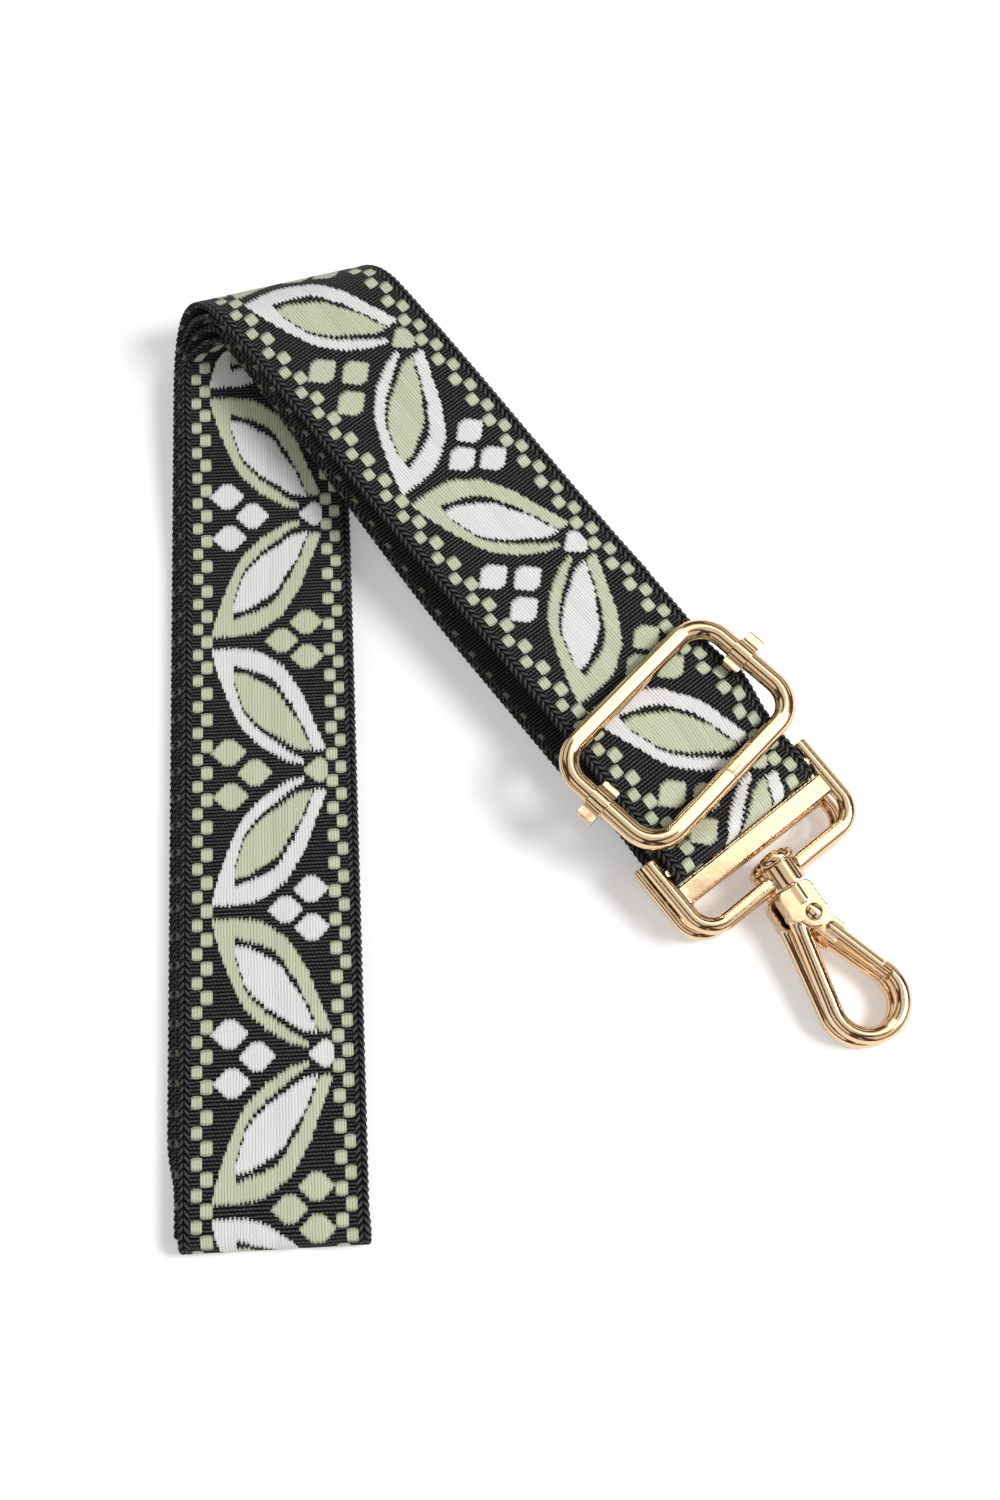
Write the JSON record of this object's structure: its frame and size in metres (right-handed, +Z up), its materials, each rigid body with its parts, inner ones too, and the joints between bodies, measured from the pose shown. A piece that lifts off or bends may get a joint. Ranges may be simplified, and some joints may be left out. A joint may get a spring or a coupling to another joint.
{
  "type": "bag strap",
  "caption": "Woven shoulder strap for a bag, folded flat, with a wire slider and a swivel snap hook at each end.",
  "frame": {"origin": "centre of the bounding box on the plane the folded strap lies on", "axes": "+Z up off the table, +Y along the upright arm towards the oblique top fold, +X towards the side the hooks are on"},
  "size_m": [0.162, 0.221, 0.0251],
  "materials": {
    "woven_webbing": "black jacquard webbing with sage green and white leaves",
    "thread": "black sewing thread",
    "pale_gold": "polished pale gold plating",
    "spring_steel": "bright spring wire"
  },
  "bodies": {
    "strap": {"webbing": "woven_webbing", "webbing_return_leg": "woven_webbing", "stitching_ring_end": "thread"},
    "slider": {"slider_frame": "pale_gold"},
    "bar": {"slider_bar": "pale_gold", "webbing_sewn_end": "woven_webbing", "stitching_slider_end": "thread"},
    "upper_ring": {"upper_ring": "pale_gold"},
    "upper_hook": {"upper_swivel_post": "pale_gold", "upper_hook": "pale_gold", "upper_gate_pin": "pale_gold", "upper_gate_spring": "spring_steel"},
    "upper_gate": {"upper_gate": "pale_gold"},
    "lower_ring": {"lower_ring": "pale_gold"},
    "lower_hook": {"lower_swivel_post": "pale_gold", "lower_hook": "pale_gold", "lower_gate_pin": "pale_gold", "lower_gate_spring": "spring_steel"},
    "lower_gate": {"lower_gate": "pale_gold"}
  },
  "joints": [
    {"name": "slider_slide", "type": "slide", "parent": "strap", "child": "slider", "axis": [0.5951, -0.8021, -0.0499], "range_m": [-0.016, 0.001], "deforming": ["webbing_return_leg"]},
    {"name": "bar_slide", "type": "slide", "parent": "slider", "child": "bar", "axis": [0.7289, -0.6828, -0.0499], "range_m": [-0.003, 0.001], "deforming": ["webbing_return_leg"]},
    {"name": "upper_ring_flip", "type": "hinge", "parent": "strap", "child": "upper_ring", "pos_m": [0.04594, -0.02244, 0.0124], "axis": [-0.7753, -0.6316, 0], "range_deg": [0, 75]},
    {"name": "upper_hook_swivel", "type": "hinge", "parent": "upper_ring", "child": "upper_hook", "pos_m": [0.05553, -0.0342, 0.0105], "axis": [0.5349, -0.8358, -0.1235], "range_deg": [-6, 6]},
    {"name": "upper_gate_open", "type": "hinge", "parent": "upper_hook", "child": "upper_gate", "pos_m": [0.06111, -0.04218, 0.00928], "axis": [-0.0785, 0.0964, -0.9922], "range_deg": [0, 20], "stiffness_Nm_per_rad": 0.05, "springref_deg": -22.92},
    {"name": "lower_ring_flip", "type": "hinge", "parent": "strap", "child": "lower_ring", "pos_m": [0.04486, -0.02228, 0.0039], "axis": [-0.7905, -0.6125, 0], "range_deg": [-75, 0]},
    {"name": "lower_hook_swivel", "type": "hinge", "parent": "lower_ring", "child": "lower_hook", "pos_m": [0.05422, -0.03437, 0.00328], "axis": [0.5554, -0.8306, -0.0402], "range_deg": [-6, 6]},
    {"name": "lower_gate_open", "type": "hinge", "parent": "lower_hook", "child": "lower_gate", "pos_m": [0.06, -0.04229, 0.00289], "axis": [-0.0247, 0.0318, -0.9992], "range_deg": [0, 20], "stiffness_Nm_per_rad": 0.05, "springref_deg": -22.92}
  ]
}
